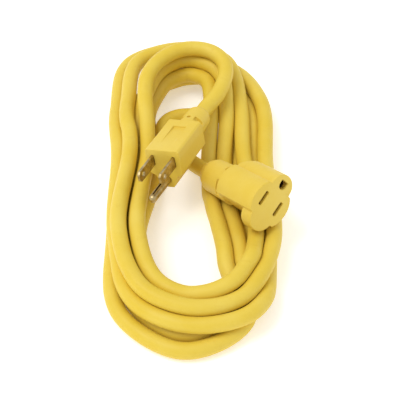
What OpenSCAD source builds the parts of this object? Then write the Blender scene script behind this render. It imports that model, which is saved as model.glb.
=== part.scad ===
// Three-core outdoor extension cord, coiled as a long hank lying on its side.
// The cord runs from a moulded three-pin plug to a moulded three-slot connector.
// Units are millimetres, +Z is up, and the hank rests on z = 0 with its length along Y.
// The plug and the connector are each drawn in their own frame: the face is at y = 0,
// Y runs back towards the cord, and the blade or slot line is at z = 0.

/* [Cord] */
// outside diameter of the round jacket
cord_d = 9; // [8.4:0.1:9.2]
// length of the hank over its outer turns
hank_len = 236; // [226:1:246]
// width of the hank over its outer turns
hank_w = 94; // [90:1:98]
// height of the hank's lower turns, which go all the way round
base_h = 9.4; // [9.3:0.1:9.6]
// height of the left run and of the near end, where most turns lie
stack_h = 23; // [19:0.5:23.5]
// height of the far end
far_h = 24.5; // [19:0.5:24.5]

/* [Plug] */
// width of the plug body across the blades
plug_w = 20.8; // [20.4:0.1:22]
// length of the plug body without its strain relief
plug_len = 31; // [29:0.5:33]
// height of the plug's flat top above the blade line
plug_top = 7; // [6.4:0.1:8]
// how far the keel under the ground pin reaches below the blade line
plug_keel = 16.9; // [16.4:0.1:18]
// length of the plug's strain relief
plug_neck = 19; // [18:0.5:21]
// depth of the thumb recess at its deep end
recess_depth = 1.3; // [0.6:0.1:1.6]

/* [Blades and pin] */
// distance between the two flat blades, centre to centre
blade_gap = 12.7; // [12.5:0.1:12.9]
// width of a flat blade
blade_w = 6.35; // [6.2:0.05:6.5]
// thickness of a flat blade
blade_t = 1.5; // [1.4:0.05:1.6]
// how far a flat blade stands out of the face
blade_out = 17.5; // [16:0.5:18]
// hole near the tip of a flat blade
blade_hole_d = 3.2; // [2.8:0.1:3.6]
// distance from the blade line to the ground pin's centre
ground_off = 11.9; // [11.7:0.1:12.1]
// outside diameter of the folded ground pin
ground_d = 4.8; // [4.6:0.1:5]
// how far the ground pin stands out of the face
ground_out = 20.6; // [19:0.2:21]

/* [Connector] */
// radius of the connector barrel
barrel_r = 13.2; // [12.8:0.1:13.6]
// length of the straight part of the barrel
barrel_len = 31; // [29:0.5:33]
// length of the collar behind the barrel
collar_len = 19.5; // [18:0.5:21]
// radius of that collar
collar_r = 10.4; // [10.2:0.1:10.8]
// length of the connector's strain relief with its collar
conn_neck = 27; // [26:0.5:29]
// length of a blade slot
slot_h = 8.2; // [7.8:0.1:8.8]
// width of a blade slot
slot_w = 2.2; // [1.9:0.1:2.4]
// depth of the tab under the slots, along the barrel
tab_len = 8; // [6:0.5:10]
// length of the rib over the ground hole
rib_len = 28; // [26:0.5:28]

/* [Hidden] */
$fn = 48;
gap = 0.1;              // clearance between a moulded piece and what it holds
join = 0.01;             // how far two joined solids of one piece run into each other
half = blade_gap / 2;   // blade or slot centre from the middle plane

// colours
jacket_yellow = [0.90, 0.78, 0.27];
mould_yellow = [0.91, 0.80, 0.32];
brass = [0.78, 0.62, 0.30];
copper = [0.80, 0.47, 0.30];
ivory = [0.88, 0.86, 0.78];
core_black = [0.08, 0.08, 0.08];
core_white = [0.92, 0.92, 0.90];
core_green = [0.10, 0.45, 0.20];

// where the plug and the connector lie, and how each is turned about X, Y and Z
plug_exit = [2.5, 32.5, 28];
plug_turn = [-8, -14, -22];
conn_exit = [6.2, 0, 14.7];
conn_turn = [-34, 52, 9];
exit_drop = 1;          // the cord leaves this far below the blade line
conn_drop = 0.5;

// hank outline
hank_x = -4;            // the hank's middle, left of the plug and connector's common middle
run_left = 26.5;        // width of the hank's left run, seen from above
run_right = 27;         // width of its right run
end_run = 35;           // width of its two ends
hank_round = 36;        // radius of its outer ends
hole_round = 16;
step_in = 2.5;          // the upper turns lie this far inside the lower ones
mid_h = 14;             // height of the left run under the plug's lead
wall_y = 24;            // the plug's lead joins the upper turns here
far_y = 79;             // the upper turns of the far end start here
near_y = -58;           // and those of the near end here

// route of the lead from the plug: over the far end of the hank, down its left run
plug_route = [[12, 49, 28], [15.5, 58, 29], [17, 66, 29.5], [16.5, 74, 29.5], [13, 81, 29.5],
    [7, 86, 29.5], [-1, 88, 29.5], [-9, 87, 29.5], [-16, 83, 29.5], [-22, 77, 29.5],
    [-26.5, 70, 29], [-29.5, 62, 28], [-30.8, 53, 25.5], [-30.8, 44, 22.8], [-30, 35, 20.6],
    [-29.3, 29, 19.5], [-29.3, 24.05, 19.5]];
// route of the lead from the connector: under the plug, round to the right run
conn_route = [[-2, 11, 10.4], [-6.5, 17, 9], [-11, 23, 8], [-15.5, 29.5, 7.2],
    [-18.8, 36.5, 6.5], [-19.8, 43.5, 6], [-17.4, 50, 5.6], [-12, 54.4, 5.2], [-5, 56, 4.9],
    [2, 56, 4.7], [9, 56, 4.6], [15.95, 56, 4.6]];
lead_sides = 12;

// inside the plug
carrier_y0 = 2;
carrier_y1 = 11;
carrier_half = 8.4;
carrier_z = 4.4;
keel_half = 3.6;
crimp_y0 = 12;
crimp_y1 = 19;
crimp_r = 1.9;
core_r = 0.95;
insul_r = 1.45;
bore_r = 1.05;
plug_end = plug_len + plug_neck;
// outline of the connector
rib_r = 7.6;
rib_z = 9.7;            // centre of the rib's round top above the slot line
tab_r = 8.1;
tab_z = 8.2;            // centre of the tab's round end below the slot line
flat_low = 9.4;         // the barrel is cut flat this far below the slot line
flat_high = 8.8;        // and this far above it
// inside the connector
face_t = 2;
box_y1 = 19;
cap_y1 = 21;
box_half = 9.3;
box_z = 5.6;
tower_r = 3.75;
contact_y0 = 3.6;
contact_y1 = 15;
leaf_t = 0.7;
leaf_z = 4.2;
sleeve_r = 2.95;
sleeve_t = 0.5;
ccrimp_y0 = 15.5;
ccrimp_y1 = 24;
conn_end = barrel_len + conn_neck;

// ---- helpers ------------------------------------------------------------

function unit(v) = v / norm(v);
// direction of a piece's own Y axis after it is turned
function turned_y(a) = let (x = a[0], y = a[1], z = a[2])
    [sin(x) * sin(y) * cos(z) - cos(x) * sin(z),
     sin(x) * sin(y) * sin(z) + cos(x) * cos(z),
     sin(x) * cos(y)];
function tangent(p, i) = i == 0 ? unit(p[1] - p[0])
    : i == len(p) - 1 ? unit(p[i] - p[i - 1])
    : unit(unit(p[i + 1] - p[i]) + unit(p[i] - p[i - 1]));
// side vector of each ring, carried along the route so that the tube never twists
function next_side(s, t) = unit(s - t * (s * t));
function sides(p, i, s) = let (v = next_side(s, tangent(p, i)))
    i == len(p) - 1 ? [v] : concat([v], sides(p, i + 1, v));
function ring(c, t, s, r, n) = let (u = cross(t, s))
    [for (k = [0:n - 1]) c + r * (cos(360 * k / n) * s + sin(360 * k / n) * u)];

module tube(p, r, n) {
    sv = sides(p, 0, [0, 0, 1]);
    m = len(p);
    pts = [for (i = [0:m - 1]) each ring(p[i], tangent(p, i), sv[i], r, n)];
    walls = [for (i = [0:m - 2]) for (k = [0:n - 1])
        [i * n + k, (i + 1) * n + k, (i + 1) * n + (k + 1) % n, i * n + (k + 1) % n]];
    caps = [[for (k = [0:n - 1]) k], [for (k = [n - 1:-1:0]) (m - 1) * n + k]];
    polyhedron(points = pts, faces = concat(walls, caps));
}

module in_plug() {
    translate(plug_exit) rotate(plug_turn) translate([0, -plug_end, exit_drop]) children();
}

module in_connector() {
    translate(conn_exit) rotate(conn_turn) translate([0, -conn_end, conn_drop]) children();
}

// round bar along Y
module bar(x, z, y0, y1, r) {
    translate([x, y0, z]) rotate([-90, 0, 0]) cylinder(h = y1 - y0, r = r, $fn = 24);
}

// cone along Y
module cone(z, y0, y1, r0, r1) {
    translate([0, y0, z]) rotate([-90, 0, 0]) cylinder(h = y1 - y0, r1 = r0, r2 = r1);
}

// outline in the XZ plane carried back along Y
module along(y0, y1) {
    translate([0, y1, 0]) rotate([90, 0, 0]) linear_extrude(height = y1 - y0) children();
}

// hollow round sleeve swept along a route
module sleeve(p, r, bore, n) {
    sv = sides(p, 0, [0, 0, 1]);
    m = len(p);
    outer = [for (i = [0:m - 1]) each ring(p[i], tangent(p, i), sv[i], r, n)];
    inner = [for (i = [0:m - 1]) each ring(p[i], tangent(p, i), sv[i], bore, n)];
    q = m * n;
    walls = [for (i = [0:m - 2]) for (k = [0:n - 1])
        [i * n + k, (i + 1) * n + k, (i + 1) * n + (k + 1) % n, i * n + (k + 1) % n]];
    hole = [for (f = walls) [f[3] + q, f[2] + q, f[1] + q, f[0] + q]];
    e = (m - 1) * n;
    start = [for (k = [0:n - 1]) [k, (k + 1) % n, q + (k + 1) % n, q + k]];
    finish = [for (k = [0:n - 1]) [e + k, q + e + k, q + e + (k + 1) % n, e + (k + 1) % n]];
    polyhedron(points = concat(outer, inner), faces = concat(walls, hole, start, finish));
}

// ---- conductor routes -----------------------------------------------------

lay_r = 1.85;           // the three cores lie on this radius inside the jacket
function plug_wire(x, z, lx, lz, y_a) = [[x, y_a, z], [x, 22, z],
    [lx, 35, lz - exit_drop], [lx, plug_end, lz - exit_drop]];
function conn_wire(x, z, lx, lz, y_a) = [[x, y_a, z], [x, 27, z],
    [lx, 43, lz - conn_drop], [lx, conn_end, lz - conn_drop]];
// the ground conductor dives under the rib's sloping end
function conn_ground(y_a) = [[0, y_a, ground_off], [0, 25.6, ground_off],
    [0, 36, lay_r - conn_drop], [0, conn_end, lay_r - conn_drop]];
// the room for a conductor runs on past both of its ends
function overrun(p) = [p[0] - [0, 1.5, 0], p[1], p[2], p[3] + [0, 1, 0]];
wire_sides = 10;
lay_x = lay_r * cos(30);
lay_z = lay_r / 2;
core_a = 14;            // bare copper starts here in the plug
insul_a = 19.6;         // insulation starts here in the plug
ccore_a = 18;
cinsul_a = 24.6;

// ---- plug ---------------------------------------------------------------

module plug_section(inset) {
    w = plug_w / 2 - inset;
    t = plug_top - inset;
    k = plug_keel - inset;
    polygon([[-w + 1.2, t], [w - 1.2, t], [w - 0.3, t - 0.9], [w, t - 5], [w - 0.3, -7.4],
        [w - 1.6, -8.8], [6.6, -9.7], [4.2, -k + 1.2], [3.2, -k], [-3.2, -k],
        [-4.2, -k + 1.2], [-6.6, -9.7], [-w + 1.6, -8.8], [-w + 0.3, -7.4], [-w, t - 5],
        [-w + 0.3, t - 0.9]]);
}

module keel_cut() {
    // the keel rises towards the strain relief
    translate([-12, 22, -plug_keel - 6]) rotate([32, 0, 0]) cube([24, 30, 6]);
}

module plug_neck_shape() {
    cone(-exit_drop, plug_len - 2, plug_len + 6, 7.6, 7.3);
    cone(-exit_drop, plug_len + 6, plug_end - 3, 7.3, 6.95);
    cone(-exit_drop, plug_end - 3, plug_end, 6.9, 5.2);
}

module relief_window(a, y, wide, long, deep) {
    rotate([0, a, 0]) translate([-wide / 2, y, deep]) cube([wide, long, 6]);
}

module carrier_outline(extra) {
    translate([-carrier_half - extra, -carrier_z - extra])
        square([2 * (carrier_half + extra), 2 * (carrier_z + extra)]);
    translate([-keel_half - extra, -ground_off - 3.4 - extra])
        square([2 * (keel_half + extra), ground_off + 3.4]);
}

module plug_body() {
    color(mould_yellow) in_plug() difference() {
        union() {
            difference() {
                along(0, plug_len) plug_section(0);
                keel_cut();
            }
            plug_neck_shape();
        }
        // thumb recess, deepest towards the cord
        translate([-3.9, 6, plug_top]) rotate([-atan(recess_depth / 18.5), 0, 0])
            cube([7.8, 18.6, 4]);
        // windows of the strain relief
        translate([0, 0, -exit_drop]) {
            translate([0, plug_len + 5.2, 5.6]) cylinder(h = 4, d = 2.2, $fn = 20);
            relief_window(52, plug_len + 3.6, 6, 3.2, 5.6);
            relief_window(-52, plug_len + 3.6, 6, 3.2, 5.6);
            relief_window(180, plug_len + 3.6, 5, 3.2, 5.6);
        }
        // room for what is moulded in
        along(carrier_y0 - gap, carrier_y1 + gap) carrier_outline(gap);
        blade_room(-half);
        blade_room(half);
        bar(0, -ground_off, -1, carrier_y0, ground_d / 2 + gap / 2);
        for (x = [-half, half]) bar(x, 0, carrier_y1, crimp_y1 + gap, crimp_r + gap);
        bar(0, -ground_off, carrier_y1, crimp_y1 + gap, ground_d / 2 + gap);
        for (w = plug_wires) tube(overrun(w), insul_r + gap, wire_sides);
    }
}

module blade_room(x) {
    translate([x - blade_t / 2 - gap / 2, -1, -blade_w / 2 - gap / 2])
        cube([blade_t + gap, crimp_y0 + 2, blade_w + gap]);
}

plug_line_wire = plug_wire(-half, 0, -lay_x, lay_z, insul_a);
plug_neutral_wire = plug_wire(half, 0, lay_x, lay_z, insul_a);
plug_ground_wire = plug_wire(0, -ground_off, 0, -lay_r, insul_a);
plug_wires = [plug_line_wire, plug_neutral_wire, plug_ground_wire];

module plug_carrier() {
    color(ivory) in_plug() difference() {
        along(carrier_y0, carrier_y1) carrier_outline(0);
        blade_room(-half);
        blade_room(half);
        bar(0, -ground_off, 0, carrier_y1 + 1, ground_d / 2 + gap / 2);
    }
}

module blade(x) {
    difference() {
        union() {
            translate([x - blade_t / 2, -blade_out + 1.5, -blade_w / 2])
                cube([blade_t, blade_out - 1.5 + crimp_y0 + 1, blade_w]);
            // tapered tip
            translate([x - blade_t / 2, -blade_out + 1.5, 0]) rotate([90, 0, 90])
                linear_extrude(height = blade_t)
                    polygon([[0, -blade_w / 2], [0, blade_w / 2], [-1.5, blade_w / 2 - 1.3],
                        [-1.5, -blade_w / 2 + 1.3]]);
            bar(x, 0, crimp_y0, crimp_y1, crimp_r);
        }
        translate([x - 2, -blade_out + 4.6, 0]) rotate([0, 90, 0])
            cylinder(h = 4, d = blade_hole_d, $fn = 32);
        bar(x, 0, crimp_y0 + 1.4, crimp_y1 + 1, bore_r);
    }
}

module line_blade() {
    color(brass) in_plug() blade(-half);
}

module neutral_blade() {
    color(brass) in_plug() blade(half);
}

module ground_pin() {
    r = ground_d / 2;
    color(brass) in_plug() difference() {
        union() {
            bar(0, -ground_off, -ground_out + r, crimp_y1, r);
            translate([0, -ground_out + r, -ground_off]) sphere(r = r, $fn = 32);
        }
        // the fold leaves a hollow with a seam along the top
        bar(0, -ground_off, -ground_out + 4, crimp_y0 + 0.2, r - 0.85);
        translate([-0.5, -ground_out + 3, -ground_off]) cube([1, ground_out - 3.4, r + 1]);
        bar(0, -ground_off, crimp_y0 + 1.4, crimp_y1 + 1, bore_r);
    }
}

module plug_core(p) {
    color(copper) in_plug()
        tube([[p[0][0], core_a, p[0][2]], p[1], p[2], p[3]], core_r, wire_sides);
}

module insulation(p) {
    sleeve(p, insul_r, core_r + gap / 2, wire_sides);
}

module plug_line_core() {
    plug_core(plug_line_wire);
}

module plug_line_insulation() {
    color(core_black) in_plug() insulation(plug_line_wire);
}

module plug_neutral_core() {
    plug_core(plug_neutral_wire);
}

module plug_neutral_insulation() {
    color(core_white) in_plug() insulation(plug_neutral_wire);
}

module plug_ground_core() {
    plug_core(plug_ground_wire);
}

module plug_ground_insulation() {
    color(core_green) in_plug() insulation(plug_ground_wire);
}

// ---- connector ------------------------------------------------------------

module barrel_section() {
    intersection() {
        translate([0, -conn_drop]) circle(r = barrel_r);
        translate([-barrel_r, -flat_low]) square([2 * barrel_r, flat_low + flat_high]);
    }
}

module rib_section() {
    translate([0, rib_z]) circle(r = rib_r);
    translate([-rib_r, 0]) square([2 * rib_r, rib_z]);
}

module tab_section() {
    translate([0, -tab_z]) circle(r = tab_r);
    translate([-tab_r, -tab_z]) square([2 * tab_r, tab_z]);
}

module ground_hole_section() {
    // arched towards the slots, flat on the far side
    intersection() {
        translate([0, ground_off - 0.2]) circle(r = 2.55, $fn = 40);
        translate([-3, ground_off - 4]) square([6, 6.1]);
    }
    translate([-2.55, ground_off - 0.2]) square([5.1, 2.3]);
}

module connector_shell() {
    along(0, barrel_len) barrel_section();
    along(0, tab_len) tab_section();
    // the rib slopes away at its back end
    difference() {
        along(0, rib_len + 3) rib_section();
        translate([-10, rib_len - 4, rib_z + rib_r]) rotate([-45, 0, 0]) cube([20, 20, 12]);
    }
    // collar of the strain relief, rounded off towards the cord
    cone(-conn_drop, barrel_len - 1, barrel_len + collar_len, collar_r, collar_r - 0.9);
    cone(-conn_drop, barrel_len + collar_len - 1, conn_end - 3.6, collar_r - 0.95, 7.7);
    cone(-conn_drop, conn_end - 3.8, conn_end, 7.65, 5.2);
}

module connector_body() {
    color(mould_yellow) in_connector() difference() {
        connector_shell();
        for (x = [-half, half])
            translate([x - slot_w / 2, -1, -slot_h / 2]) cube([slot_w, face_t + 1.5, slot_h]);
        along(-1, face_t + 0.5) ground_hole_section();
        along(face_t, cap_y1 + gap) box_outline(gap);
        for (w = conn_wires) bar(w[0][0], w[0][2], cap_y1, ccrimp_y1 + 0.3, crimp_r + gap);
        for (w = conn_wires) tube(overrun(w), insul_r + gap, wire_sides);
        // crescent slots of the strain relief
        translate([0, 0, -conn_drop]) {
            for (a = [-40, 40, -130, 130]) relief_window(a, barrel_len + 2.4, 9, 2.6, collar_r - 1.9);
        }
    }
}

module box_outline(extra) {
    translate([-box_half - extra, -box_z - extra])
        square([2 * (box_half + extra), 2 * (box_z + extra)]);
    translate([0, ground_off]) circle(r = tower_r + extra);
    translate([-tower_r - extra, 0]) square([2 * (tower_r + extra), ground_off]);
}

conn_line_wire = conn_wire(-half, 0, -lay_x, -lay_z, cinsul_a);
conn_neutral_wire = conn_wire(half, 0, lay_x, -lay_z, cinsul_a);
conn_ground_wire = conn_ground(cinsul_a);
conn_wires = [conn_line_wire, conn_neutral_wire, conn_ground_wire];

module contact_carrier() {
    color(ivory) in_connector() difference() {
        along(face_t + gap, box_y1) box_outline(0);
        for (x = [-half, half]) {
            translate([x - slot_w / 2, 0, -slot_h / 2]) cube([slot_w, 6, slot_h]);
            translate([x - 1.6, contact_y0 - 0.2, -leaf_z - gap])
                cube([3.2, box_y1, 2 * (leaf_z + gap)]);
        }
        along(0, 6) ground_hole_section();
        bar(0, ground_off, contact_y0 - 0.2, box_y1 + 1, sleeve_r + gap);
    }
}

module carrier_cap() {
    color(ivory) in_connector() difference() {
        along(box_y1 + gap / 2, cap_y1) box_outline(0);
        for (w = conn_wires) bar(w[0][0], w[0][2], box_y1 - 1, cap_y1 + 1, crimp_r + gap);
    }
}

module slot_contact(x) {
    // two spring leaves joined by a bridge, with the crimp barrel behind it
    for (s = [-1, 1])
        translate([x + s * 1.05 - leaf_t / 2, contact_y0, -leaf_z])
            cube([leaf_t, contact_y1 - contact_y0 + join, 2 * leaf_z]);
    translate([x - 1.4, contact_y1, -leaf_z]) cube([2.8, 0.8, 2 * leaf_z]);
    difference() {
        bar(x, 0, ccrimp_y0, ccrimp_y1, 1.5);
        bar(x, 0, ccrimp_y0 + 1.5, ccrimp_y1 + 1, bore_r);
    }
}

module line_contact() {
    color(brass) in_connector() slot_contact(-half);
}

module neutral_contact() {
    color(brass) in_connector() slot_contact(half);
}

module ground_contact() {
    color(brass) in_connector() difference() {
        union() {
            bar(0, ground_off, contact_y0, contact_y1 + 0.8, sleeve_r);
            bar(0, ground_off, contact_y1, ccrimp_y1, 1.5);
        }
        bar(0, ground_off, contact_y0 - 1, contact_y1, sleeve_r - sleeve_t);
        translate([-0.4, contact_y0 - 1, ground_off]) cube([0.8, contact_y1 - 6, 4]);
        bar(0, ground_off, ccrimp_y0 + 1.5, ccrimp_y1 + 1, bore_r);
    }
}

module connector_core(p) {
    color(copper) in_connector()
        tube([[p[0][0], ccore_a, p[0][2]], p[1], p[2], p[3]], core_r, wire_sides);
}

module connector_line_core() {
    connector_core(conn_line_wire);
}

module connector_line_insulation() {
    color(core_black) in_connector() insulation(conn_line_wire);
}

module connector_neutral_core() {
    connector_core(conn_neutral_wire);
}

module connector_neutral_insulation() {
    color(core_white) in_connector() insulation(conn_neutral_wire);
}

module connector_ground_core() {
    connector_core(conn_ground_wire);
}

module connector_ground_insulation() {
    color(core_green) in_connector() insulation(conn_ground_wire);
}

// ---- cord ------------------------------------------------------------------

module racetrack(x0, x1, y0, y1, r) {
    translate([x0, y0 + r]) square([x1 - x0, y1 - y0 - 2 * r]);
    translate([x0 + r, y0]) square([x1 - x0 - 2 * r, y1 - y0]);
    for (x = [x0 + r, x1 - r]) for (y = [y0 + r, y1 - r])
        translate([x, y]) circle(r = r, $fn = 72);
}

module run_ring(edge, inward) {
    difference() {
        racetrack(-hank_w / 2 + edge, hank_w / 2 - edge, -hank_len / 2 + edge,
            hank_len / 2 - edge, hank_round - edge);
        racetrack(-hank_w / 2 + run_left + inward, hank_w / 2 - run_right - inward,
            -hank_len / 2 + end_run + inward, hank_len / 2 - end_run - inward, hole_round);
    }
}

// the upper turns, cut to one stretch of the ring
module upper(x0, x1, y0, y1, h) {
    translate([0, 0, base_h - 1]) linear_extrude(height = h - base_h + 1)
        intersection() {
            run_ring(step_in, 0);
            translate([x0, y0]) square([x1 - x0, y1 - y0]);
        }
}

module hank() {
    color(jacket_yellow) translate([hank_x, 0, 0]) union() {
        linear_extrude(height = base_h) run_ring(0, 0);
        upper(-60, 0, near_y - 1, far_y + 1, mid_h);
        upper(-60, -17.5, near_y - 1, wall_y, stack_h);
        upper(-60, 60, -hank_len, near_y, stack_h);
        upper(-60, 60, far_y, hank_len, far_h);
    }
}

module plug_lead() {
    axis = turned_y(plug_turn);
    points = concat([plug_exit, plug_exit + 7 * axis], plug_route);
    color(jacket_yellow) tube(points, cord_d / 2, lead_sides);
}

module connector_lead() {
    axis = turned_y(conn_turn);
    points = concat([conn_exit, conn_exit + 6 * axis], conn_route);
    color(jacket_yellow) tube(points, cord_d / 2, lead_sides);
}

// ---- assembly ----------------------------------------------------------------

hank();
plug_lead();
connector_lead();
plug_body();
plug_carrier();
line_blade();
neutral_blade();
ground_pin();
plug_line_core();
plug_line_insulation();
plug_neutral_core();
plug_neutral_insulation();
plug_ground_core();
plug_ground_insulation();
connector_body();
contact_carrier();
carrier_cap();
line_contact();
neutral_contact();
ground_contact();
connector_line_core();
connector_line_insulation();
connector_neutral_core();
connector_neutral_insulation();
connector_ground_core();
connector_ground_insulation();
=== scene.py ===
"""Looks of the coiled extension cord: jacket, moulded ends, metal, floor, lights and camera."""
import math

import bpy
import numpy as np
from mathutils import Matrix, Vector


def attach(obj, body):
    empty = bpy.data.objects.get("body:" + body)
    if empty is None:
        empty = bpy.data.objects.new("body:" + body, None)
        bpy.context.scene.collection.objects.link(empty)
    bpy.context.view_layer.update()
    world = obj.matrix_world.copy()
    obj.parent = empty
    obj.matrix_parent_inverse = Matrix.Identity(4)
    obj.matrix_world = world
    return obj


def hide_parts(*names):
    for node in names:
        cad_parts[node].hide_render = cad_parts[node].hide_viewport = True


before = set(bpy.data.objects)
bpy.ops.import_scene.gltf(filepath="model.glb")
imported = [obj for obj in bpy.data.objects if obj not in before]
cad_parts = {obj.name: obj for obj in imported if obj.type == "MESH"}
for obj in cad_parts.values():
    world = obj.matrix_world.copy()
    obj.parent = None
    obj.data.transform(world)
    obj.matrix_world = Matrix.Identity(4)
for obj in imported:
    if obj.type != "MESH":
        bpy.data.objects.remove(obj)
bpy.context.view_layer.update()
MM = 0.001

# ---- places and routes, the same numbers as part.scad, in millimetres --------
CORD_D = 9.0
PLUG_EXIT, PLUG_TURN, PLUG_SHIFT = (2.5, 32.5, 28.0), (-8, -14, -22), (0, -50, 1)
CONN_EXIT, CONN_TURN, CONN_SHIFT = (6.2, 0.0, 14.7), (-34, 52, 9), (0, -58, 0.5)
PLUG_ROUTE = [
    (12, 49, 28), (15.5, 58, 29), (17, 66, 29.5), (16.5, 74, 29.5), (13, 81, 29.5),
    (7, 86, 29.5), (-1, 88, 29.5), (-9, 87, 29.5), (-16, 83, 29.5), (-22, 77, 29.5),
    (-26.5, 70, 29),
]
CONN_ROUTE = [
    (-2, 11, 10.4), (-6.5, 17, 9), (-11, 23, 8), (-15.5, 29.5, 7.2), (-18.8, 36.5, 6.5),
    (-19.8, 43.5, 6), (-17.4, 50, 5.6), (-12, 54.4, 5.2), (-5, 56, 4.9), (2, 56, 4.7),
    (9, 56, 4.6), (15.95, 56, 4.6),
]
# middle line of the hank at twelve stations: x, y and the direction outwards
STATIONS = [
    (-36, 15, -1, 0), (-37, -50, -1, 0), (-26, -88, -0.7, -0.71), (-2, -101, 0, -1),
    (22, -88, 0.7, -0.71), (31, -55, 1, 0), (24, 10, 1, 0), (22, 60, 1, 0.1),
    (12, 88, 0.65, 0.76), (-8, 97, 0, 1), (-27, 86, -0.75, 0.66), (-35, 55, -1, 0.05),
]
# each turn at each station, from the plug's end on: how far out and how high it lies
TURNS = [
    [(-9, 15.5), (-6, 20.5), (-8.5, 19), (-10, 18), (-5, 20), (-1, 15), (2, 12.5), (3.5, 12),
     (9, 13), (10, 13), (11, 15), (4.5, 16)],
    [(1.3, 19.4), (4.3, 21.5), (1.5, 19.5), (-2, 18), (3.5, 16), (9, 13), (14, 11), (15.5, 11),
     (9, 8), (19, 5), (20, 7), (11.2, 9)],
    [(7.1, 13.3), (6, 13.4), (6, 12.5), (5, 12.3), (10.5, 11), (7, 5), (9, 4.5), (9.5, 4.5),
     (5, 4.5), (-8, 4.5), (-10, 4.5), (2.5, 4.5)],
    [(5, 4.5), (6.5, 4.5), (15, 4.5), (16, 4.5), (8.5, 4.5), (-8, 4.5), (-8, 5), (-5, 13),
     (-5, 19), (-8, 21), (-9, 17.5), (-4, 14.5)],
    [(-4, 9), (-1, 4.5), (7.5, 8), (6.5, 4.5), (-0.5, 4.5), (-14, 8), (-17, 4.5),
     (-13, 12.7), (-9, 14), (-9, 12.6), (-7, 11), (-5.5, 4.5)],
    [(-13.5, 4.5), (-5, 13.3), (-4, 6), (-3, 5), (-9, 5), (-0.5, 4.5), (0, 4.5)],
]
FIRST_RUN = [
    (-29.2, 62, 28), (-29.8, 53, 25.6), (-29.2, 44, 23), (-28.4, 35, 20.4), (-27.7, 24, 18.3),
    (-27.4, 12, 16.8),
]
LAST_RUN = [(23.5, 36, 4.5), (21.5, 48, 4.6)]


def turned(angles):
    """Rotation of OpenSCAD's rotate([x, y, z])."""
    x, y, z = (math.radians(a) for a in angles)
    return Matrix.Rotation(z, 4, "Z") @ Matrix.Rotation(y, 4, "Y") @ Matrix.Rotation(x, 4, "X")


PLUG_FRAME = Matrix.Translation(PLUG_EXIT) @ turned(PLUG_TURN) @ Matrix.Translation(PLUG_SHIFT)
CONN_FRAME = Matrix.Translation(CONN_EXIT) @ turned(CONN_TURN) @ Matrix.Translation(CONN_SHIFT)


def place(matrix, x, y, z):
    return np.array(matrix @ Vector((x, y, z)))


# ---- camera ------------------------------------------------------------------
def look(target, elevation, distance, lens):
    camera = bpy.data.objects.new("camera", bpy.data.cameras.new("camera"))
    bpy.context.scene.collection.objects.link(camera)
    a = math.radians(elevation)
    camera.location = Vector(target) + distance * Vector((0, -math.cos(a), math.sin(a)))
    camera.rotation_euler = (math.radians(90 - elevation), 0, 0)
    camera.data.sensor_width = 36
    camera.data.lens = lens
    camera.data.clip_start = 0.05
    bpy.context.scene.camera = camera


TARGET, ELEVATION, DISTANCE, LENS = (2, -19, 12), 47, 720, 117.9
look([v * MM for v in TARGET], ELEVATION, DISTANCE * MM, LENS)


# ---- cord --------------------------------------------------------------------
LAID_STEP, DRAWN_STEP = 4.0, 1.6  # spacing of the line's points while it settles and as drawn
SPAN_SAMPLES = 24  # samples between two route points
JACKET_SIDES = 6  # bevel resolution of the round jacket


def curve_through(points, step):
    """Smooth curve through the points, sampled at even steps along its length."""
    p = np.array(points, float)
    p = np.vstack([2 * p[0] - p[1], p, 2 * p[-1] - p[-2]])
    out = []
    for a, b, c, d in zip(p, p[1:], p[2:], p[3:]):
        ta, tb, tc = (np.linalg.norm(v) ** 0.5 for v in (b - a, c - b, d - c))
        m1 = (c - b) + tb * ((b - a) / ta - (c - a) / (ta + tb))
        m2 = (c - b) + tb * ((d - c) / tc - (d - b) / (tb + tc))
        for t in np.linspace(0, 1, SPAN_SAMPLES, endpoint=False):
            out.append(
                (2 * t**3 - 3 * t**2 + 1) * b + (t**3 - 2 * t**2 + t) * m1
                + (3 * t**2 - 2 * t**3) * c + (t**3 - t**2) * m2
            )
    return evenly(np.array(out + [p[-2]]), step)


def evenly(p, step=None):
    """The same line with its points at even steps."""
    s = np.concatenate([[0], np.cumsum(np.linalg.norm(np.diff(p, axis=0), axis=1))])
    n = len(p) if step is None else int(round(s[-1] / step)) + 1
    u = np.linspace(0, s[-1], n)
    return np.stack([np.interp(u, s, p[:, k]) for k in range(3)], 1)


def laid_route():
    """The whole centreline as laid, and the free stretch's first and last point."""
    plug_axis = place(PLUG_FRAME, 0, 57, -1) - np.array(PLUG_EXIT)
    conn_axis = place(CONN_FRAME, 0, 64, -0.5) - np.array(CONN_EXIT)
    head = [PLUG_EXIT, PLUG_EXIT + plug_axis, *PLUG_ROUTE]
    tail = [*CONN_ROUTE[::-1], CONN_EXIT + conn_axis, CONN_EXIT]
    turns = []
    for k, turn in enumerate(TURNS):
        for (x, y, nx, ny), (out, high) in list(zip(STATIONS, turn))[k == 0:]:
            turns.append((x + nx * out, y + ny * out, high))
    p = curve_through([*head, *FIRST_RUN, *turns, *LAST_RUN, *tail], LAID_STEP)
    first, last = (int(np.argmin(np.linalg.norm(p - q, axis=1))) for q in (head[-1], tail[0]))
    return p, first, last


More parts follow.
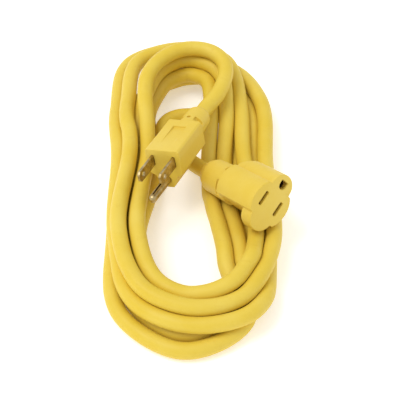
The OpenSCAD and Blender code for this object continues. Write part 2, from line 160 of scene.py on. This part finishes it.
def bodies():
    """Capsules that stand for the plug and the connector: two ends and their two radii."""
    rows = [
        (PLUG_FRAME, (-5, 2, -0.5), (-5, 29, -0.5), 7.6, 7.6),
        (PLUG_FRAME, (5, 2, -0.5), (5, 29, -0.5), 7.6, 7.6),
        (PLUG_FRAME, (0, 1, -11.9), (0, 22, -11.9), 4.6, 4.6),
        (PLUG_FRAME, (0, 31, -1), (0, 50, -1), 7.6, 5),
        (PLUG_FRAME, (0, -19, -11.9), (0, 0, -11.9), 2.4, 2.4),
        (CONN_FRAME, (-3, 2, 0), (-3, 31, 0), 9.6, 9.6),
        (CONN_FRAME, (3, 2, 0), (3, 31, 0), 9.6, 9.6),
        (CONN_FRAME, (0, 31, -0.5), (0, 50, -0.5), 10.5, 8.8),
        (CONN_FRAME, (0, 50, -0.5), (0, 58, -0.5), 8.8, 5),
        (CONN_FRAME, (0, 2, -8), (0, 7, -8), 8, 8),
        (CONN_FRAME, (0, 2, 9.7), (0, 26, 9.7), 7.6, 7.6),
    ]
    return [(place(m, *a), place(m, *b), ra, rb) for m, a, b, ra, rb in rows]


ROUNDS = 500
HOLD = 0.1  # share of the way back to the laid line in each round, across the line of sight
HOLD_ALONG = 0.3 * HOLD  # the same along the line of sight, which the photograph doesn't fix
LET_GO, LET_GO_FOR = 0.75, 0.2  # when the hold fades and for how long, in shares of all rounds
WEIGHT = 0.02  # sinking in each round
STIFFNESS, STIFF_UNTIL = 8.0, 0.9  # bending stiffness, and when it stops acting
RELAX = 0.03  # share of the stiffness that acts on the line itself, not on its change
NEIGHBOURS = 7  # points along the line that never count as touching
REACH = 1.7 * CORD_D  # pairs nearer than this are watched for contact
REFRESH, RESPACE = 6, 20  # rounds between new lists of near pairs, and between even spacings
PASSES, OVER = 3, 1.3  # contact passes in a round, and over-relaxation
CLAMP = 1e5  # grip on the points that don't move


def settle(laid, first, last, solids):
    """Lets the laid turns settle on each other, the floor and the ends, as a stiff lead does."""
    p, n = laid.copy(), len(laid)
    free = np.zeros(n, bool)
    free[first + 1:last] = True
    loose = free.astype(float)[:, None]
    rows = np.arange(n - 2)
    bend = np.zeros((n - 2, n))
    bend[rows, rows], bend[rows, rows + 1], bend[rows, rows + 2] = 1, -2, 1
    grip = np.where(free, 1.0, CLAMP)
    fair = np.linalg.inv(np.diag(grip) + STIFFNESS * bend.T @ bend) * grip[None, :]
    a = math.radians(ELEVATION)
    eye = np.array(TARGET) + DISTANCE * np.array([0, -math.cos(a), math.sin(a)])
    sight = eye - laid
    sight /= np.linalg.norm(sight, axis=1)[:, None]
    for k in range(ROUNDS):
        if k % REFRESH == 0:
            near = ((p[:, None] - p[None]) ** 2).sum(2) < REACH**2
            i, j = np.nonzero(np.triu(near, NEIGHBOURS))
        ease = min(1.0, max(0.0, 1 - (k / ROUNDS - LET_GO) / LET_GO_FOR))
        off = laid - p
        along = (off * sight).sum(1)[:, None] * sight
        p += loose * ease * (HOLD * (off - along) + HOLD_ALONG * along)
        p[:, 2] -= loose[:, 0] * WEIGHT * ease
        if k < STIFF_UNTIL * ROUNDS:
            p = (1 - RELAX) * (laid + fair @ (p - laid)) + RELAX * (fair @ p)
        for _ in range(PASSES):
            d = p[j] - p[i]
            r = np.linalg.norm(d, axis=1)
            hit = r < CORD_D
            u, v = i[hit], j[hit]
            push = (CORD_D - r[hit])[:, None] * d[hit] / np.maximum(r[hit], 1e-6)[:, None]
            share = np.maximum(loose[u] + loose[v], 1e-6)
            move, count = np.zeros_like(p), np.zeros((n, 1))
            np.add.at(move, u, -push * loose[u] / share)
            np.add.at(move, v, push * loose[v] / share)
            np.add.at(count, u, 1)
            np.add.at(count, v, 1)
            p += OVER * loose * move / np.maximum(count, 1)
            for q0, q1, r0, r1 in solids:
                axis = q1 - q0
                t = np.clip(((p - q0) @ axis) / (axis @ axis), 0, 1)
                away = p - (q0 + t[:, None] * axis)
                r = np.linalg.norm(away, axis=1)
                need = r0 + (r1 - r0) * t + CORD_D / 2
                m = (r < need) & free
                p[m] += away[m] / r[m][:, None] * (need - r)[m][:, None]
            p[:, 2] = np.maximum(p[:, 2], CORD_D / 2)
        if k % RESPACE == RESPACE - 1:
            p[first:last + 1] = evenly(p[first:last + 1])
    return p


settled = settle(*laid_route(), bodies())
line = curve_through(settled, DRAWN_STEP)[::-1] * MM  # from the connector to the plug
cord_length = float(np.linalg.norm(np.diff(line, axis=0), axis=1).sum())



def evaluated_mesh(piece):
    """Mesh of a piece as its modifiers or bevel leave it."""
    bpy.context.view_layer.update()
    depsgraph = bpy.context.evaluated_depsgraph_get()
    return bpy.data.meshes.new_from_object(piece.evaluated_get(depsgraph))


data = bpy.data.curves.new("cord", "CURVE")
data.dimensions = "3D"
data.bevel_depth = CORD_D / 2 * MM
data.bevel_resolution = JACKET_SIDES
data.use_fill_caps = True
data.twist_mode = "MINIMUM"
spline = data.splines.new("POLY")
spline.points.add(len(line) - 1)
spline.points.foreach_set("co", np.c_[line, np.ones(len(line))].ravel())
spline.use_smooth = True
swept = bpy.data.objects.new("cord_line", data)
bpy.context.scene.collection.objects.link(swept)
tube = evaluated_mesh(swept)
bpy.data.objects.remove(swept)
bpy.data.curves.remove(data)
tube.name = "cord"
tube.shade_smooth()
cord = bpy.data.objects.new("cord", tube)
bpy.context.scene.collection.objects.link(cord)
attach(cord, "root")
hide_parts("hank", "plug_lead", "connector_lead")


# ---- moulded and metal pieces --------------------------------------------------
MOULDED_EDGE = (0.28, 3)  # voxel size in millimetres and rounds of smoothing
METAL_EDGE = (0.14, 2)


def softened(node, name, own_frame, edge):
    """Copy of a CAD node with its edges rounded as a mould or a press leaves them."""
    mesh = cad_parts[node].data.copy()
    mesh.materials.clear()
    to_local = own_frame.inverted() @ Matrix.Scale(1 / MM, 4)
    mesh.transform(to_local)
    piece = bpy.data.objects.new(name, mesh)
    bpy.context.scene.collection.objects.link(piece)
    weld = piece.modifiers.new("weld", "WELD")
    weld.merge_threshold = 0.001  # the mesh is in millimetres here
    remesh = piece.modifiers.new("remesh", "REMESH")
    remesh.mode = "VOXEL"
    remesh.voxel_size = edge[0]
    remesh.use_smooth_shade = True
    smooth = piece.modifiers.new("smooth", "SMOOTH")
    smooth.factor = 0.5
    smooth.iterations = edge[1]
    done = evaluated_mesh(piece)
    piece.modifiers.clear()
    piece.data = done
    done.transform(to_local.inverted())
    done.name = name
    bpy.data.meshes.remove(mesh)
    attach(piece, "root")
    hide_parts(node)
    return piece


plug_shell = softened("plug_body", "plug_shell", PLUG_FRAME, MOULDED_EDGE)
connector_shell = softened(
    "connector_body", "connector_shell", CONN_FRAME, MOULDED_EDGE
)
blades = [
    softened(node, node + "_metal", PLUG_FRAME, METAL_EDGE)
    for node in ("line_blade", "neutral_blade", "ground_pin")
]


# ---- materials -----------------------------------------------------------------
def linear(r, g, b):
    """Colour in linear light from 0-255 display values."""
    return tuple(
        (c / 12.92 if c <= 0.04045 else ((c + 0.055) / 1.055) ** 2.4)
        for c in (r / 255, g / 255, b / 255)
    ) + (1.0,)


class Nodes:
    """Short names for building one material's node tree."""

    def __init__(self, name, **values):
        self.material = bpy.data.materials.new(name)
        self.material.use_nodes = True
        self.tree = self.material.node_tree
        self.shader = self.tree.nodes["Principled BSDF"]
        self.place = self.new("ShaderNodeTexCoord").outputs["Object"]
        for key, value in values.items():
            self.shader.inputs[key.replace("_", " ")].default_value = value

    def new(self, kind, **settings):
        node = self.tree.nodes.new(kind)
        for key, value in settings.items():
            setattr(node, key, value)
        return node

    def put(self, value, socket):
        if isinstance(value, bpy.types.NodeSocket):
            self.tree.links.new(value, socket)
        else:
            socket.default_value = value

    def noise(self, scale, detail=3.0, rough=0.55, stretch=None):
        where = self.place
        if stretch:
            mapping = self.new("ShaderNodeMapping")
            mapping.inputs["Scale"].default_value = stretch
            self.put(where, mapping.inputs["Vector"])
            where = mapping.outputs["Vector"]
        node = self.new("ShaderNodeTexNoise")
        node.inputs["Scale"].default_value = scale
        node.inputs["Detail"].default_value = detail
        node.inputs["Roughness"].default_value = rough
        self.put(where, node.inputs["Vector"])
        return node.outputs["Fac"]

    def spread(self, value, low, high, to_low=0.0, to_high=1.0):
        node = self.new("ShaderNodeMapRange", clamp=True)
        limits = {"From Min": low, "From Max": high, "To Min": to_low, "To Max": to_high}
        for key, number in limits.items():
            node.inputs[key].default_value = number
        self.put(value, node.inputs["Value"])
        return node.outputs["Result"]

    def mix(self, share, a, b):
        node = self.new("ShaderNodeMix", data_type="RGBA")
        self.put(share, node.inputs["Factor"])
        self.put(a, node.inputs["A"])
        self.put(b, node.inputs["B"])
        return node.outputs["Result"]

    def sum(self, a, b, kind="ADD"):
        node = self.new("ShaderNodeMath", operation=kind)
        self.put(a, node.inputs[0])
        self.put(b, node.inputs[1])
        return node.outputs[0]

    def bump(self, height, distance, strength=1.0):
        node = self.new("ShaderNodeBump")
        node.inputs["Strength"].default_value = strength
        node.inputs["Distance"].default_value = distance
        self.put(height, node.inputs["Height"])
        self.put(node.outputs["Normal"], self.shader.inputs["Normal"])


def soft_vinyl(name, body, pale, deep, roughness, grain, grain_height=0.00003):
    """Coloured PVC: cloudy tone, rubbed pale spots, deeper small spots and a fine matt grain."""
    m = Nodes(name, Specular_IOR_Level=0.32)
    cloud = m.spread(m.noise(38, 4), 0.35, 0.7)
    tone = m.mix(cloud, linear(*body), linear(*pale))
    spots = m.spread(m.noise(150, 5, 0.7), 0.56, 0.78, 0.0, 0.35)
    tone = m.mix(spots, tone, linear(*deep))
    rubbed = m.spread(m.noise(520, 2), 0.62, 0.8, 0.0, 0.25)
    m.put(m.mix(rubbed, tone, linear(*pale)), m.shader.inputs["Base Color"])
    gloss = m.spread(m.noise(210, 4), 0.3, 0.7, roughness - 0.07, roughness + 0.09)
    m.put(gloss, m.shader.inputs["Roughness"])
    fine = m.sum(m.noise(grain, 2), m.sum(m.noise(grain / 7, 3), 1.5, "MULTIPLY"))
    m.bump(fine, grain_height)
    return m.material


def metal(name, body, dull, roughness, brushed):
    """Stamped metal: tarnish in patches, brushed along its length."""
    m = Nodes(name, Metallic=1.0)
    patch = m.spread(m.noise(240, 5, 0.65), 0.38, 0.72)
    m.put(m.mix(patch, linear(*body), linear(*dull)), m.shader.inputs["Base Color"])
    streak = m.noise(900, 3, stretch=brushed)
    gloss = m.spread(streak, 0.3, 0.7, roughness - 0.08, roughness + 0.14)
    m.put(gloss, m.shader.inputs["Roughness"])
    m.bump(streak, 0.00006, 0.6)
    return m.material


# display colours: body, pale and deep; then roughness, scale and height of the grain
YELLOW_JACKET = ((222, 191, 58), (227, 200, 82), (206, 167, 36))
YELLOW_ENDS = ((223, 192, 70), (228, 200, 90), (210, 173, 46))
YELLOW_INSERT = ((196, 160, 52), (204, 170, 66), (176, 138, 36))
BLACK = ((28, 28, 30), (44, 44, 46), (16, 16, 18))
WHITE = ((226, 224, 216), (236, 235, 230), (206, 202, 190))
GREEN = ((38, 118, 58), (56, 136, 74), (26, 92, 44))
jacket = soft_vinyl("cord_jacket", *YELLOW_JACKET, 0.5, 2600)
moulded = soft_vinyl("moulded_ends", *YELLOW_ENDS, 0.46, 1900)
brass = metal("brass", (206, 186, 138), (140, 116, 70), 0.34, (0.35, 0.12, 1.0))
looks = {
    "insert": soft_vinyl("insert", *YELLOW_INSERT, 0.55, 1800),
    "brass": brass,
    "copper": metal("copper", (206, 128, 88), (150, 84, 52), 0.32, (0.4, 0.2, 1.0)),
    "black_core": soft_vinyl("black_core", *BLACK, 0.5, 2200, 0.00002),
    "white_core": soft_vinyl("white_core", *WHITE, 0.5, 2200, 0.00002),
    "green_core": soft_vinyl("green_core", *GREEN, 0.5, 2200, 0.00002),
}
WIRE_LOOKS = {"line": "black_core", "neutral": "white_core", "ground": "green_core"}


def wear(piece, material):
    piece.data.materials.clear()
    piece.data.materials.append(material)


wear(cord, jacket)
wear(plug_shell, moulded)
wear(connector_shell, moulded)
for piece in blades:
    wear(piece, brass)
for node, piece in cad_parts.items():
    kind = "insert" if "carrier" in node else "brass"
    if node.endswith("_core"):
        kind = "copper"
    if node.endswith("_insulation"):
        kind = WIRE_LOOKS[node.split("_")[1]]
    if not piece.hide_render:
        wear(piece, looks[kind])

# ---- floor and light -------------------------------------------------------------
floor_mesh = bpy.data.meshes.new("floor")
HALF_FLOOR = 3
corners = [(x * HALF_FLOOR, y * HALF_FLOOR, 0) for x, y in ((-1, -1), (1, -1), (1, 1), (-1, 1))]
floor_mesh.from_pydata(corners, [], [(0, 1, 2, 3)])
floor = bpy.data.objects.new("floor", floor_mesh)
floor.location.z = -0.0002  # just under the cord, so that the two surfaces don't share a plane
bpy.context.scene.collection.objects.link(floor)
paper = Nodes("floor_paper", Roughness=0.9, Specular_IOR_Level=0.1, Emission_Strength=0.3)
paper.shader.inputs["Emission Color"].default_value = (1, 1, 1, 1)
paper.put(
    paper.mix(paper.noise(3, 2), linear(250, 250, 249), linear(252, 252, 252)),
    paper.shader.inputs["Base Color"],
)
wear(floor, paper.material)


def soft_box(name, where, aim, size, power):
    light = bpy.data.lights.new(name, "AREA")
    light.shape = "DISK"
    light.size = size
    light.energy = power
    lamp = bpy.data.objects.new(name, light)
    lamp.location = where
    lamp.rotation_euler = (Vector(aim) - Vector(where)).to_track_quat("-Z", "Y").to_euler()
    bpy.context.scene.collection.objects.link(lamp)


KEY_SIZE, KEY_POWER, WORLD_STRENGTH = 1.6, 35, 0.8
soft_box("key", (-1.3, -0.2, 2.6), (0, 0, 0), KEY_SIZE, KEY_POWER)
world = bpy.data.worlds.new("studio")
world.use_nodes = True
background = world.node_tree.nodes["Background"]
background.inputs["Color"].default_value = (1, 1, 1, 1)
background.inputs["Strength"].default_value = WORLD_STRENGTH
bpy.context.scene.world = world
bpy.context.scene.view_settings.view_transform = "Standard"

# ---- final update ------------------------------------------------------------------
bpy.context.view_layer.update()
